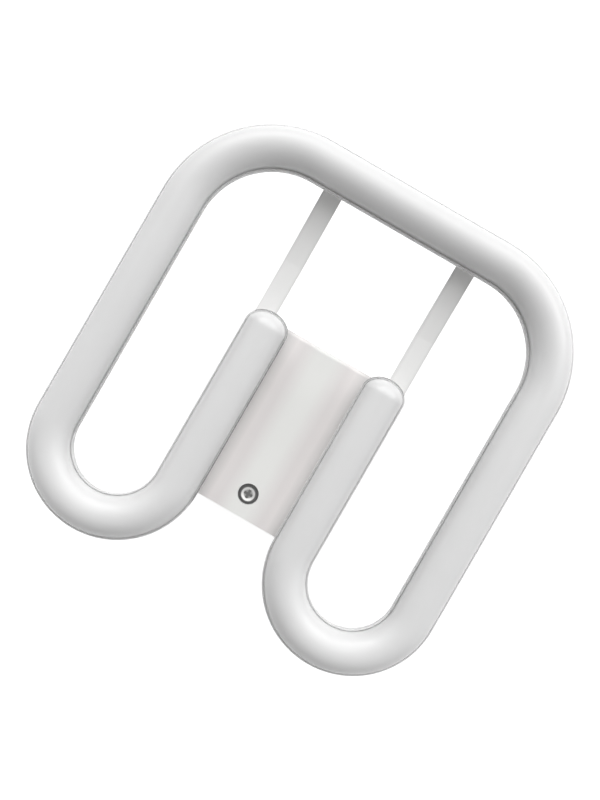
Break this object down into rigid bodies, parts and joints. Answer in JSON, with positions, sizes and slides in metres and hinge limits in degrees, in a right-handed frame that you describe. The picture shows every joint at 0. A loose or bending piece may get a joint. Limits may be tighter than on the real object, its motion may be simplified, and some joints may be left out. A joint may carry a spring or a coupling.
{
  "type": "square led lamp",
  "caption": "Flat square LED lamp: a bent opal tube on a white sheet carrier with two arms, and a pin cap behind that holds the driver and plugs into a lampholder.",
  "frame": {"origin": "centre of the cap's flat seating face, in the middle of its pins", "axes": "+Z to the light side, +Y along the inner legs to the tube's top run, +X to the right"},
  "size_m": [0.138, 0.1414, 0.0349],
  "materials": {
    "opal_diffuser": "opal, satin",
    "white_plastic": "moulded white, satin",
    "cap_plastic": "moulded white, fine texture",
    "white_sheet": "white coat, satin, fine lines along the legs",
    "pin_metal": "turned",
    "screw_steel": "zinc plated",
    "seal_rubber": "dark grey, matt",
    "strip_board": "white mask",
    "diode": "phosphor face",
    "link_wire": "tinned",
    "driver_laminate": "green mask",
    "capacitor_sleeve": "shrunk sleeve",
    "ferrite": "sintered",
    "film_coating": "dipped",
    "chip_moulding": "moulded",
    "resistor_coating": "cement coat",
    "insulation_film": "film",
    "wire_sleeve": "sleeve"
  },
  "bodies": {
    "root": {"diffuser": "opal_diffuser", "rear_housing": "white_plastic", "cap_housing": "cap_plastic", "carrier_bracket": "white_sheet", "contact_pins": "pin_metal", "cap_screw": "screw_steel", "screw_washer": "seal_rubber", "tube_screws": "screw_steel", "led_board_right": "strip_board", "led_board_left": "strip_board", "led_board_top": "strip_board", "leds": "diode", "board_links": "link_wire", "driver_board": "driver_laminate", "buffer_capacitor": "capacitor_sleeve", "filter_choke": "ferrite", "film_capacitor": "film_coating", "bridge_rectifier": "chip_moulding", "driver_chip": "chip_moulding", "fuse_resistor": "resistor_coating", "insulating_sheet": "insulation_film", "feed_leads": "wire_sleeve"}
  },
  "joints": []
}
